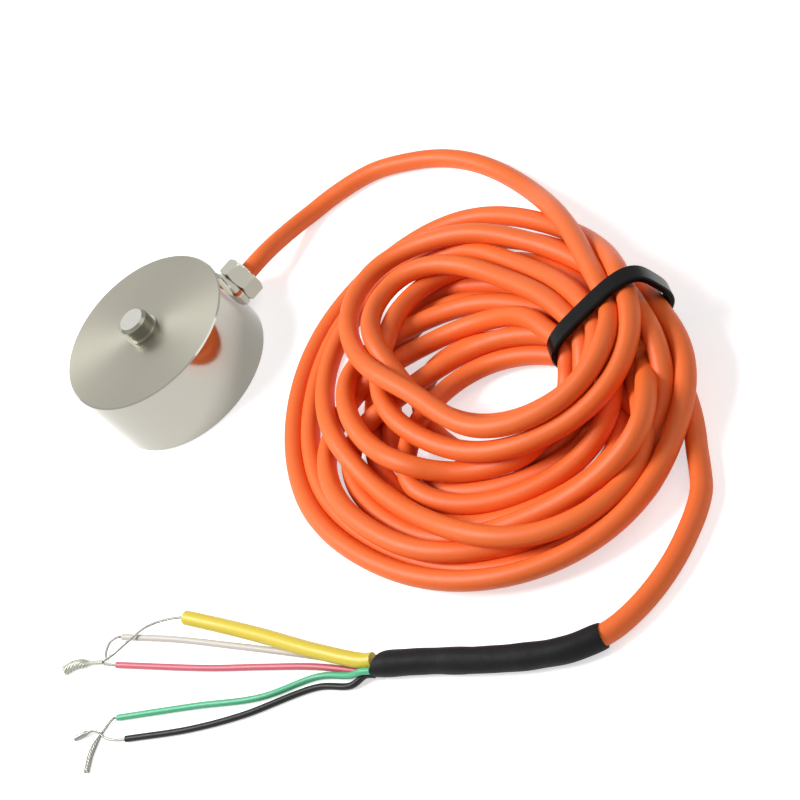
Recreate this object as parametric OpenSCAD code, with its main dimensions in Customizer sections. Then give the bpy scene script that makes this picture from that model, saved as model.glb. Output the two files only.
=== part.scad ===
// Miniature button load cell: a turned steel body with a load button, a screwed
// cable gland and a coiled four-core cable with stripped ends. Millimetres, +Z up.
// The origin is the centre of the base face, and the cable leaves along +X.

/* [Body] */
// Outside diameter of the turned body
body_d = 38; // [36:0.5:46]
// Height of the body, base to top face, without the button
body_h = 16; // [15:0.5:22]
// Chamfer at the top and bottom edges of the body
edge_chamfer = 0.3; // [0.2:0.1:0.8]

/* [Load button] */
// Diameter of the load button
button_d = 6.5; // [5:0.5:9]
// Height of the button above the top face
button_h = 4; // [3:0.5:6]
// Chamfer round the button's crown
button_chamfer = 0.6; // [0.3:0.1:1]
// How far the foot ring stands out from the button
foot_w = 0.35; // [0.2:0.05:0.8]
// Height of the foot ring
foot_h = 0.5; // [0.3:0.1:0.8]

/* [Sensing element] */
// Diameter of the cavity under the membrane
cavity_d = 22; // [20:0.5:23]
// Thickness of the membrane that the gauges are bonded to
membrane_t = 3; // [2:0.25:4]
// Diameter of the stiff centre boss under the button
boss_d = 9; // [8:0.5:10]
// How far the centre boss hangs below the membrane
boss_drop = 4; // [2:0.5:4]
// Radius of the fillets at the roots of the membrane
root_r = 0.8; // [0.4:0.1:0.8]
// Length of a strain gauge, along the radius
gauge_l = 3; // [2:0.25:3.25]
// Width of a strain gauge
gauge_w = 2.4; // [2:0.1:3]
// Thickness of a strain gauge with its cover foil
gauge_t = 0.15; // [0.1:0.05:0.3]

/* [Terminal board] */
// Height of the shoulder that the board seats up against
board_z = 3.4; // [3:0.1:3.6]
// Thickness of the board
board_t = 1; // [0.8:0.1:1.6]
// Width of the shoulder round the board
board_seat = 1; // [0.8:0.1:1.2]
// Diameter of the hole in the middle of the board
board_hole_d = 4; // [3:0.5:6]

/* [Base] */
// Thickness of the welded base cover
cover_t = 0.8; // [0.5:0.1:1]
// Width of the ledge that the cover is welded to
cover_seat = 1; // [0.8:0.1:1.2]
// How far the cover sits above the base face
cover_inset = 0.1; // [0.05:0.05:0.3]
// Diameter of the circle of mounting screws
screw_pcd = 32; // [31.5:0.25:32.5]
// Tapping diameter of the mounting screws
screw_d = 2.5; // [2:0.1:2.6]
// Depth of the tapped holes
screw_depth = 6; // [4:0.5:8]
// Number of mounting screws
screw_count = 3; // [3, 4]

/* [Gland] */
// Height of the cable axis above the base face
gland_z = 6; // [5.9:0.1:6.8]
// Width of the gland nut across its flats
nut_af = 8; // [7.5:0.25:8.5]
// Length of the gland nut
nut_l = 4.1; // [3.8:0.1:5.5]
// Chamfer on the outer corners of the nut, along the axis
nut_chamfer = 0.5; // [0.2:0.1:0.8]
// Wall at the outer end of the nut
nut_wall = 1; // [0.8:0.1:1.2]
// Turn of the nut on its thread, in degrees
nut_turn = 45; // [0:5:55]
// Diameter of the gland's flange
flange_d = 9; // [8.5:0.25:9]
// Length of the flange between the body and the nut
flange_l = 1.2; // [0.8:0.1:2]
// Major diameter of the thread that screws into the body
stub_d = 6; // [5.5:0.25:6]
// Length of thread inside the body wall
stub_l = 4.5; // [3.5:0.25:4.75]
// Major diameter of the thread that carries the nut
neck_d = 5.9; // [5.6:0.1:6]
// Length of the thread that carries the nut
neck_l = 1.9; // [1.4:0.1:1.9]
// Thickness of the pressure washer
washer_t = 0.3; // [0.2:0.05:0.4]
// Open seam between the flange and the nut
seam = 0.1; // [0.05:0.05:0.3]

/* [Cable] */
// Diameter of the cable
cable_d = 3.8; // [3.4:0.1:3.8]
// Diameter of an insulated core outside the cable
core_d = 1.25; // [1:0.05:1.25]
// Diameter of a bare stranded conductor
strand_d = 0.5; // [0.4:0.05:0.6]
// Diameter of an insulated core inside the body
inner_core_d = 0.9; // [0.7:0.05:1]

/* [Coil] */
// Size of the coil across the body's X axis
coil_w = 75; // [70:1:75]
// Size of the coil along the body's Y axis
coil_l = 97; // [90:1:97]
// Width of the open middle of the coil
hole_w = 24; // [18:1:28]
// Length of the open middle of the coil
hole_l = 30; // [24:1:36]
// Number of turns
coil_turns = 13; // [10:1:14]
// Layers of cable in the bundle under the tie
bundle_rows = 3; // [3:1:4]

/* [Cable tie] */
// Width of the strap
tie_w = 4; // [2.5:0.5:5]
// Thickness of the strap
tie_t = 1.2; // [1:0.1:1.5]
// Length of the head, along the strap
head_l = 6; // [5:0.5:8]
// Height of the head under the bundle, with the strap
head_h = 3.6; // [3.4:0.1:4.4]

/* [Cable end] */
// Outside diameter of the black shrink sleeve
sleeve_d = 4.6; // [4.4:0.1:5]
// Outside diameter of the yellow sleeve over the screen wire
yellow_d = 2.8; // [2.4:0.1:2.8]
// Bore of the yellow sleeve
yellow_bore = 1.8; // [1.4:0.1:2]
// Diameter of the soldered twist that joins three conductors
twist_d = 1.4; // [1.2:0.1:1.6]

/* [Hidden] */
$fn = 96;

// Clearance of a piece in its seat, on each side
fit = 0.05;
// How far a cut runs past a face
past = 1;

// Body
body_r = body_d / 2;
membrane_z = body_h - membrane_t;
cavity_r = cavity_d / 2;
board_d = cavity_d + 2 * board_seat;
cover_d = board_d + 2 * cover_seat;
cover_top = cover_inset + cover_t;
foot_r = button_d / 2 + foot_w;
gauge_r = (boss_d + cavity_d) / 4;
gauge_turn = 45;

// Solder joints: bottom and top radius, height
solder_r = 0.5;
solder_top_r = 0.3;
solder_h = 0.4;
solder_z = board_z + solder_h;
gauge_wire_d = 0.3;
gauge_wire_gap = 1.4;
gauge_wire_r = gauge_r + gauge_l / 2 - 0.4;
resistor = [2, 1.25, 0.6];
resistor_r = cavity_r - 3.5;

// Gland, as stations along the cable axis
spot_d = flange_d + 4 * fit;
seat_x = sqrt(pow(body_r, 2) - pow(spot_d / 2, 2));
stub_x = seat_x - stub_l;
flange_x = seat_x + flange_l;
neck_x = flange_x + neck_l;
nut_x = flange_x + seam;
gland_out = nut_x + nut_l;
nut_floor_x = gland_out - nut_wall;
seal_l = nut_floor_x - washer_t - neck_x;
// How far inside the flats the nut's turned end face stops
nut_edge_inset = 0.15;
cable_bore_d = cable_d + 2 * fit;
jacket_end_x = cavity_r - 0.8;
core_gap = inner_core_d / 2 + fit;
core_bend_r = 1.2;

// Coil: middle of the outer and the inner oval, and the place of the tie
coil_mid = [29, -74];
hole_mid = [33, -77];
tie_angle = -33;
// Direction of the bundle's width at the tie, and how far its inner side leans down
tie_turn = -28;
tie_tilt = 12;
pinch_angle = 30;
coil_rings = 40;
// Loose layers of cable in the coil, away from the tie
coil_layers = 2.2;
coil_h = coil_layers * cable_d;
coil_edge = cable_d / 2;
bundle_w = ceil((coil_turns + 1) / bundle_rows) * cable_d;
bundle_h = bundle_rows * cable_d;

function oval(mid, w, l, a) = [mid[0] + w / 2 * cos(a), mid[1] + l / 2 * sin(a)];
function unit(v) = v / norm(v);
// 1 at the tie, and falling to 0 away from it
function pinch(a) = exp(-pow((a - tie_angle) / pinch_angle, 2));
function blend(far, near, a) = far + (near - far) * pinch(a);
function coil_out(a) = oval(coil_mid, coil_w, coil_l, a);
function coil_in(a) = oval(hole_mid, hole_w, hole_l, a);
function across(a) =
    unit(blend(unit(coil_out(a) - coil_in(a)), [cos(tie_turn), sin(tie_turn)], a));
function section_w(a) = blend(norm(coil_out(a) - coil_in(a)), bundle_w, a);
function section_h(a) = blend(coil_h, bundle_h, a);
function section_z(a) = blend(0, head_h, a);
function section_mid(a) = (coil_out(a) + coil_in(a)) / 2;
// Corners of the coil's section at angle a, with its edges cut off
function coil_section(a) =
    let (w = section_w(a) / 2, h = section_h(a) / 2, c = coil_edge, lean = tie_tilt * pinch(a))
    [for (p = [[c - w, -h], [w - c, -h], [w, c - h], [w, h - c],
               [w - c, h], [c - w, h], [-w, h - c], [-w, c - h]])
        let (q = section_mid(a) + across(a) * (p[0] * cos(lean) - p[1] * sin(lean)))
        [q[0], q[1], section_z(a) + h + p[0] * sin(lean) + p[1] * cos(lean)]];

// Tie
tie_mid = section_mid(tie_angle);
tie_across = across(tie_angle);
tie_gap = 0.5;
// How far the head sits towards the raised side of the bundle
head_shift = 4;
tie_run = unit(section_mid(tie_angle + 1) - section_mid(tie_angle - 1));
// Room inside the strap for cables that cross it at a slant
tie_room = tie_w * abs(tie_run * tie_across);

// Routes of the cable and its cores. Heights keep each piece on the floor.
cable_r = cable_d / 2;
core_r = core_d / 2;
lead_route = [
    [gland_out, 0, gland_z], [gland_out + 3, 0, gland_z], [32, 1, 4.9],
    [38, 2, 3.2], [44, 2, cable_r], [50, 0, cable_r], [57, -4, cable_r],
    [62, -10, cable_r], [66, -17, cable_r], [68.5, -25, cable_r],
    [69.5, -34, cable_r], [69, -44, 2.6], [67.7, -52, 4], [66.1, -58, 5]
];
sleeve_z = sleeve_d / 2;
tail_route = [
    [41.5, -120.76, cable_r], [36, -127, cable_r], [30, -130, cable_r],
    [23, -132, cable_r], [16, -132.5, cable_r], [11, -132, sleeve_z - 0.2],
    [7.5, -131, sleeve_z], [2.5, -127.5, sleeve_z], [0, -124.75, sleeve_z]
];
sleeve_route = [
    [7.5, -131, sleeve_z], [2.5, -127.5, sleeve_z], [-2.5, -122, sleeve_z],
    [-8, -114.5, sleeve_z], [-13.5, -106, sleeve_z], [-20, -97, sleeve_z]
];
bore_route = [for (i = [5:8]) tail_route[i]];

// Open end of the shrink sleeve: the yellow sleeve and four cores leave side by side
mouth = sleeve_route[5];
mouth_dir = unit(mouth - sleeve_route[4]);
mouth_side = [mouth_dir[1], -mouth_dir[0], 0];
core_ring_r = sleeve_d / 2 - core_r;
yellow_turn = 53;
yellow_ring_r = 0.88;
function at_mouth(r, turn, out) =
    mouth + r * (cos(turn) * mouth_side + sin(turn) * [0, 0, 1]) + out * mouth_dir;
function from_mouth(r, turn) = [at_mouth(r, turn, fit), at_mouth(r, turn, 2)];
yellow_floor = yellow_d / 2;
yellow_route = concat(from_mouth(yellow_ring_r, yellow_turn), [
    [-25, -84.5, 2.9], [-29.5, -70.5, 2], [-33, -60.5, yellow_floor],
    [-36.5, -51.5, yellow_floor]
]);
white_route = concat(from_mouth(core_ring_r, -55), [
    [-26.5, -81.5, core_r], [-34.5, -65, core_r], [-41, -52, core_r], [-47.5, -40.5, core_r]
]);
red_route = concat(from_mouth(core_ring_r, -103), [
    [-27, -85, core_r], [-33, -75.5, core_r], [-40.5, -64, core_r], [-52, -44.5, core_r]
]);
green_route = concat(from_mouth(core_ring_r, 155), [
    [-24, -94, 1.9], [-28, -87, core_r], [-37.5, -79.5, core_r], [-47, -68, core_r], [-58.5, -54.5, core_r]
]);
black_route = concat(from_mouth(core_ring_r, 207), [
    [-25.3, -94.6, 0.8], [-29.5, -88.5, core_r], [-42, -79, core_r], [-50.5, -71, core_r], [-60, -60, core_r]
]);
// A bare conductor leaves the cut end of its core in the core's own line
function last(p) = p[len(p) - 1];
function end_dir(p) = unit(last(p) - p[len(p) - 2]);
function from_cut(p, out) = [last(p), last(p) + out * end_dir(p)];
strand_r = strand_d / 2;
twist_r = twist_d / 2;
twist_route = [
    [-53.5, -41, twist_r], [-56, -37.5, twist_r], [-58, -35.2, twist_r], [-60, -34.2, twist_r]
];
twist_dir = unit(twist_route[1] - twist_route[0]);
twist_side = [twist_dir[1], -twist_dir[0], 0];
// Where a conductor meets the twist: off its middle by side, at height z
function at_twist(side, z) =
    let (p = twist_route[0] - 6 * fit * twist_dir + side * twist_side) [p[0], p[1], z];
white_strand_route = concat(from_cut(white_route, 1), [
    [-49.8, -38.8, 0.8], [-51.8, -39.6, 0.6], at_twist(0.4, 0.5)
]);
red_strand_route = concat(from_cut(red_route, 1), [at_twist(-0.4, 0.5)]);
green_strand_route = concat(from_cut(green_route, 1), [
    [-62.5, -53.5, strand_r], [-66.5, -55, strand_r], [-69.5, -57.5, strand_r]
]);
black_strand_route = concat(from_cut(black_route, 1), [
    [-62.5, -56.5, 0.9], [-63.3, -52.5, 1.1], [-67, -49, strand_r]
]);
screen_start = yellow_route[5] - 3 * end_dir(yellow_route);
screen_route = [
    screen_start, yellow_route[5] + 0.5 * end_dir(yellow_route), [-40, -47, 1.5],
    [-43.5, -44.8, 1.9], [-48, -43.4, 1.6], [-51.5, -42.2, 1.2], at_twist(0, 1.1)
];

// Direction of a route at point i
function heading(p, i) = unit(p[min(i + 1, len(p) - 1)] - p[max(i - 1, 0)]);
function ring(p, i, d, sides) =
    let (h = heading(p, i), s = unit(cross([0, 0, 1], h)), u = cross(h, s))
    [for (k = [0:sides - 1])
        p[i] + d / 2 * (cos(360 * (k + 0.5) / sides) * s + sin(360 * (k + 0.5) / sides) * u)];
function skin(n, m, closed) = [
    for (i = [0:closed ? n - 1 : n - 2], k = [0:m - 1], t = [0, 1])
        let (j = (i + 1) % n, l = (k + 1) % m)
        t == 0 ? [i * m + k, i * m + l, j * m + l] : [i * m + k, j * m + l, j * m + k]
];

// Round rod swept along a route
module tube(p, d, sides = 8) {
    rings = [for (i = [0:len(p) - 1]) each ring(p, i, d, sides)];
    first_end = [for (k = [0:sides - 1]) k];
    last_end = [for (k = [len(rings) - 1:-1:len(rings) - sides]) k];
    sides_out = [for (f = skin(len(p), sides, false)) [f[2], f[1], f[0]]];
    polyhedron(rings, concat(sides_out, [first_end, last_end]));
}

// Puts its children on the cable axis, at station x, pointing outwards
module on_gland_axis(x) {
    translate([x, 0, gland_z]) rotate([0, 90, 0]) children();
}

// Rectangle with rounded corners, its middle at the origin
module round_rect(w, h, r) {
    square([w - 2 * r, h], center = true);
    square([w, h - 2 * r], center = true);
    for (x = [-1, 1], y = [-1, 1])
        translate([x * (w / 2 - r), y * (h / 2 - r)]) circle(r, $fn = 32);
}

// Half section of the turned body with its button
module body_profile() {
    polygon([
        [0, 0], [body_r - edge_chamfer, 0], [body_r, edge_chamfer],
        [body_r, body_h - edge_chamfer], [body_r - edge_chamfer, body_h],
        [foot_r, body_h], [foot_r, body_h + foot_h], [button_d / 2, body_h + foot_h],
        [button_d / 2, body_h + button_h - button_chamfer],
        [button_d / 2 - button_chamfer, body_h + button_h], [0, body_h + button_h]
    ]);
}

// Half section of the bore: cover recess, board seat and the annular
// cavity round the boss, with rounded roots at the membrane
module bore_profile() {
    boss_z = membrane_z - boss_drop;
    translate([0, -past]) square([cover_d / 2, cover_top + past]);
    square([board_d / 2, board_z]);
    square([cavity_r, boss_z]);
    translate([boss_d / 2, 0]) square([cavity_r - boss_d / 2, membrane_z - root_r]);
    translate([boss_d / 2 + root_r, 0])
        square([cavity_r - boss_d / 2 - 2 * root_r, membrane_z]);
    for (x = [boss_d / 2 + root_r, cavity_r - root_r])
        translate([x, membrane_z - root_r]) circle(root_r, $fn = 32);
}

// Sensing body, turned from one bar
module housing() {
    color("silver") difference() {
        rotate_extrude() body_profile();
        rotate_extrude() bore_profile();
        on_gland_axis(0) cylinder(d = cable_d + 8 * fit, h = seat_x);
        on_gland_axis(stub_x - 2 * fit) cylinder(d = stub_d + 2 * fit, h = stub_l + past);
        on_gland_axis(seat_x) cylinder(d = spot_d, h = body_r);
        for (i = [0:screw_count - 1])
            rotate(360 / screw_count * (i + 0.5)) translate([screw_pcd / 2, 0, -past])
                cylinder(d = screw_d, h = screw_depth + past, $fn = 32);
    }
}

module base_cover() {
    color("gainsboro") translate([0, 0, cover_inset])
        cylinder(d = cover_d - 2 * fit, h = cover_t);
}

// Foil gauge on the membrane, with a thicker solder end
module strain_gauge(i) {
    color("goldenrod") rotate(gauge_turn + 90 * (i - 1))
        translate([gauge_r - gauge_l / 2, -gauge_w / 2, membrane_z - gauge_t])
            cube([gauge_l, gauge_w, gauge_t]);
}

module at_gauge_wires() {
    for (i = [0:3], side = [-1, 1])
        rotate(gauge_turn + 90 * i) translate([gauge_wire_r, side * gauge_wire_gap / 2, 0])
            children();
}

module gauge_wires() {
    color("peru") at_gauge_wires() translate([0, 0, solder_z])
        cylinder(d = gauge_wire_d, h = membrane_z - gauge_t - solder_z, $fn = 16);
}

module terminal_board() {
    color("seagreen") translate([0, 0, board_z - board_t]) difference() {
        cylinder(d = board_d - 2 * fit, h = board_t);
        translate([0, 0, -past]) cylinder(d = board_hole_d, h = board_t + 2 * past);
    }
}

// Where each core of the cable comes down: reach along X and side
function core_spot(side, level) =
    [jacket_end_x - (level > 0 ? 3.6 : 2) - core_bend_r, side * core_gap];

module solder_joint() {
    translate([0, 0, board_z])
        cylinder(r1 = solder_r, r2 = solder_top_r, h = solder_h, $fn = 24);
}

module solder_joints() {
    color("lightgray") {
        at_gauge_wires() solder_joint();
        for (side = [-1, 1], level = [-1, 1])
            translate(core_spot(side, level)) solder_joint();
    }
}

module trim_resistors() {
    color("dimgray") for (a = [90, 180, 270])
        rotate(a) translate([resistor_r, 0, board_z + resistor[2] / 2])
            cube([resistor[1], resistor[0], resistor[2]], center = true);
}

// Core inside the body: out of the jacket, round a bend and down to its joint
module inner_core(side, level, paint) {
    spot = core_spot(side, level);
    z = gland_z + level * core_gap;
    color(paint) {
        translate([spot[0] + core_bend_r, spot[1], z]) rotate([0, 90, 0])
            cylinder(d = inner_core_d, h = jacket_end_x - spot[0] - core_bend_r, $fn = 24);
        translate([spot[0] + core_bend_r, spot[1], z - core_bend_r]) rotate([90, 0, 180])
            rotate_extrude(angle = 90, $fn = 24) translate([core_bend_r, 0])
                circle(d = inner_core_d, $fn = 24);
        translate([spot[0], spot[1], solder_z])
            cylinder(d = inner_core_d, h = z - core_bend_r - solder_z, $fn = 24);
    }
}

// Cable jacket where it passes through the gland
module inner_cable_end() {
    color("orangered") on_gland_axis(jacket_end_x)
        cylinder(d = cable_d, h = gland_out - jacket_end_x);
}

// Turned gland: thread in the wall, flange on the spot face, thread for the nut
module gland_body() {
    bore_r = cable_bore_d / 2;
    edge = 0.2;
    color("silver") on_gland_axis(0) rotate_extrude() polygon([
        [bore_r, stub_x], [stub_d / 2 - edge, stub_x], [stub_d / 2, stub_x + edge],
        [stub_d / 2, seat_x], [flange_d / 2, seat_x], [flange_d / 2, flange_x - edge],
        [flange_d / 2 - edge, flange_x], [neck_d / 2, flange_x],
        [neck_d / 2, neck_x - edge], [neck_d / 2 - edge, neck_x], [bore_r, neck_x]
    ]);
}

module gland_seal() {
    color("black") on_gland_axis(neck_x) difference() {
        cylinder(d = neck_d, h = seal_l);
        translate([0, 0, -past]) cylinder(d = cable_bore_d, h = seal_l + 2 * past);
    }
}

module gland_washer() {
    color("gold") on_gland_axis(neck_x + seal_l) difference() {
        cylinder(d = neck_d, h = washer_t);
        translate([0, 0, -past]) cylinder(d = cable_bore_d, h = washer_t + 2 * past);
    }
}

// Hexagon cap nut: its outer corners are turned off, and its end wall
// presses the washer and the seal on the cable
module gland_nut() {
    corner_r = nut_af / sqrt(3);
    edge_r = nut_af / 2 - nut_edge_inset;
    turned_r = corner_r + past;
    cut = nut_chamfer * (turned_r - edge_r) / (corner_r - edge_r);
    color("silver") on_gland_axis(nut_x) difference() {
        intersection() {
            rotate(nut_turn) cylinder(r = corner_r, h = nut_l, $fn = 6);
            rotate_extrude() polygon([
                [0, 0], [edge_r, 0], [turned_r, cut / 2],
                [turned_r, nut_l - cut], [edge_r, nut_l], [0, nut_l]
            ]);
        }
        translate([0, 0, -past]) cylinder(d = neck_d + 2 * fit, h = nut_l - nut_wall + past);
        cylinder(d = cable_bore_d, h = nut_l + past);
    }
}

module cable_lead() {
    color("orangered") tube(lead_route, cable_d);
}

module cable_tail() {
    color("orangered") tube(tail_route, cable_d);
}

// Outer shape of the wound cable: flat and wide, and drawn together at the tie
module cable_coil() {
    sections = [for (i = [0:coil_rings - 1]) each coil_section(tie_angle - 180 + 360 * i / coil_rings)];
    color("orangered") polyhedron(sections, skin(coil_rings, 8, true));
}

// Tie round the leaning bundle, with its head underneath
module cable_tie() {
    w = bundle_w + 2 * tie_gap + tie_room;
    h = bundle_h + 2 * tie_gap;
    color("black") translate([tie_mid[0], tie_mid[1], head_h + bundle_h / 2])
        rotate([90, 0, tie_turn]) rotate(tie_tilt) translate([0, 0, -tie_w / 2]) {
            linear_extrude(tie_w) difference() {
                round_rect(w + 2 * tie_t, h + 2 * tie_t, 2 + tie_t);
                round_rect(w, h, 2);
            }
            translate([head_shift - head_l / 2, -h / 2 - head_h + tie_gap, -0.5])
                cube([head_l, head_h - tie_gap - tie_t / 2, tie_w + 1]);
        }
}

// Shrink sleeve, solid over the splice, with the cable in its blind end
module shrink_sleeve() {
    color("dimgray") difference() {
        tube(sleeve_route, sleeve_d, 12);
        tube(bore_route, cable_bore_d + 2 * fit);
    }
}

module yellow_sleeve() {
    color("gold") difference() {
        tube(yellow_route, yellow_d);
        tube([screen_start, last(yellow_route) + end_dir(yellow_route)], yellow_bore);
    }
}

module red_core() {
    color("palevioletred") tube(red_route, core_d);
}

module white_core() {
    color("white") tube(white_route, core_d);
}

module green_core() {
    color("mediumseagreen") tube(green_route, core_d);
}

module black_core() {
    color("black") tube(black_route, core_d);
}

module screen_wire() {
    color("lightgray") tube(screen_route, strand_d);
}

module red_strands() {
    color("lightgray") tube(red_strand_route, strand_d);
}

module white_strands() {
    color("lightgray") tube(white_strand_route, strand_d);
}

module green_strands() {
    color("lightgray") tube(green_strand_route, strand_d);
}

module black_strands() {
    color("lightgray") tube(black_strand_route, strand_d);
}

module soldered_twist() {
    color("silver") tube(twist_route, twist_d);
}

housing();
base_cover();
strain_gauge(1);  // strain_gauge_1
strain_gauge(2);  // strain_gauge_2
strain_gauge(3);  // strain_gauge_3
strain_gauge(4);  // strain_gauge_4
gauge_wires();
terminal_board();
solder_joints();
trim_resistors();
inner_core(-1, 1, "palevioletred");  // inner_red_core
inner_core(1, 1, "white");  // inner_white_core
inner_core(-1, -1, "mediumseagreen");  // inner_green_core
inner_core(1, -1, "black");  // inner_black_core
inner_cable_end();
gland_body();
gland_seal();
gland_washer();
gland_nut();
cable_lead();
cable_coil();
cable_tail();
cable_tie();
shrink_sleeve();
yellow_sleeve();
red_core();
white_core();
green_core();
black_core();
screen_wire();
red_strands();
white_strands();
green_strands();
black_strands();
soldered_twist();
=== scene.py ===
"""Looks of the miniature load cell: turned steel body, cable gland, and a coiled orange cable
held by a black tie, with its stripped cores fanned out at the end. All of it is in the part's
frame. Sizes are written in millimetres, and MM turns them into metres."""

import math

import bmesh
import bpy
import numpy as np
from mathutils import Matrix, Vector


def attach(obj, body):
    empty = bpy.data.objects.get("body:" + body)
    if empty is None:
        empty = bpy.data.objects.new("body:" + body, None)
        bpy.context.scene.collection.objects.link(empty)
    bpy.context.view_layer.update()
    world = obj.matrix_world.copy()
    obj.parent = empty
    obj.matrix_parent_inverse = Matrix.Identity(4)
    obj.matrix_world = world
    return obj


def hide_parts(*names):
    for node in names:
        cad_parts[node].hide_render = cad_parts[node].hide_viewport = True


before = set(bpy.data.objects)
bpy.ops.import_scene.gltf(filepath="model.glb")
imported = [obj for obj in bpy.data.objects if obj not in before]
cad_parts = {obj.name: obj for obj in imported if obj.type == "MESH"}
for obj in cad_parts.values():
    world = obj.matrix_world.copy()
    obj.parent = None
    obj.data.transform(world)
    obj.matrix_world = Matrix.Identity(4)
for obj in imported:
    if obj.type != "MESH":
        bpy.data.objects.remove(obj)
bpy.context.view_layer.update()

MM = 0.001

# Camera, fitted to the photograph
AZIMUTH = math.radians(-8)
ELEVATION = math.radians(41.826)
ROLL = math.radians(-43.652)
CAMERA_BACK = np.array([math.sin(AZIMUTH) * math.cos(ELEVATION), -math.cos(AZIMUTH) * math.cos(ELEVATION),
                        math.sin(ELEVATION)])
TARGET = Vector((20.639, -55.032, 0)) * MM
DISTANCE = 378.871 * MM
LENS = 90

# Body, in millimetres
BODY_R = 19
BODY_H = 16
EDGE = 0.3
BUTTON_R = 3.25
BUTTON_H = 4
BUTTON_EDGE = 0.6
FOOT_R = 3.6
FOOT_H = 0.5

# Underside: cover seat, board seat, and the ring-shaped cavity under the membrane
COVER_SEAT_R = 13
COVER_SEAT_H = 0.9
BOARD_SEAT_R = 12
BOARD_SEAT_H = 3.4
CAVITY_R = 11
CAVITY_H = 13
CAVITY_CORNER = 0.8
BOSS_R = 4.5
BOSS_H = 9
SCREW_CIRCLE_R = 16
SCREW_HOLE_R = 1.25
SCREW_HOLE_H = 6

# Gland along +X, and the hole that it sits in
GLAND_Z = 6
WIRE_WAY_R = 2.1
WIRE_WAY_X = 10
THREAD_HOLE_R = 3.05
THREAD_HOLE_X = 13.835
SPOT_FACE_R = 4.6
SEAT_X = 18.435
THREAD_R = 3
THREAD_X = 13.935
THREAD_EDGE = 0.2
FLANGE_R = 4.5
FLANGE_X = 19.635
FLANGE_EDGE = 0.2
STEM_R = 2.95
STEM_EDGE_X = 21.3
STEM_X = 21.535
NUT_X = 19.735
NUT_AF = 8
NUT_L = 4.1
NUT_EDGE = 0.5
NUT_EDGE_IN = 0.15
NUT_END_WALL = 1
NUT_TURN = math.radians(45)
GLAND_OUT = 23.835

# Cable and cores, in millimetres
CABLE_D = 3.8
CABLE_GAP = 0.05
CORE_D = 1.25
WIRES = 7
WIRE_D = 0.17
LAY_R = 0.16
SLEEVE_D = 4.6
YELLOW_D = 2.8
YELLOW_BORE = 1.8
YELLOW_OPEN = 3

# Coil: its middle, and the leaning bundle under the tie, in millimetres
COIL_MID = np.array([32.0, -78.0])
TIE_MID = np.array([51.3, -93.0])
TIE_Z = 8.8
TIE_TURN = math.radians(-26)
TIE_TILT = math.radians(17)
TIE_ACROSS = np.array([math.cos(TIE_TURN), math.sin(TIE_TURN)])
TIE_RUN = np.array([-TIE_ACROSS[1], TIE_ACROSS[0]])
ROW_H = 3.3
MIDDLE_COLUMN = 3
MIDDLE_ROW = 1
STRAIGHT_HALF_L = 2
TIE_W = 3.6
TIE_T = 1.2
TIE_EDGE = 0.25
STRAP_HALF_W = 11.8
STRAP_HALF_H = 7.2
# Power of the strap's outline: 2 is an ellipse, and more is squarer
STRAP_SQUARE = 3.4
# Head of the tie, across the bundle, and how far under its middle it reaches
HEAD_START = 0.5
HEAD_END = 6.5
HEAD_BOTTOM = 9.1
HEAD_HALF_L = 2.5
HEAD_EDGE = 0.4

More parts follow.
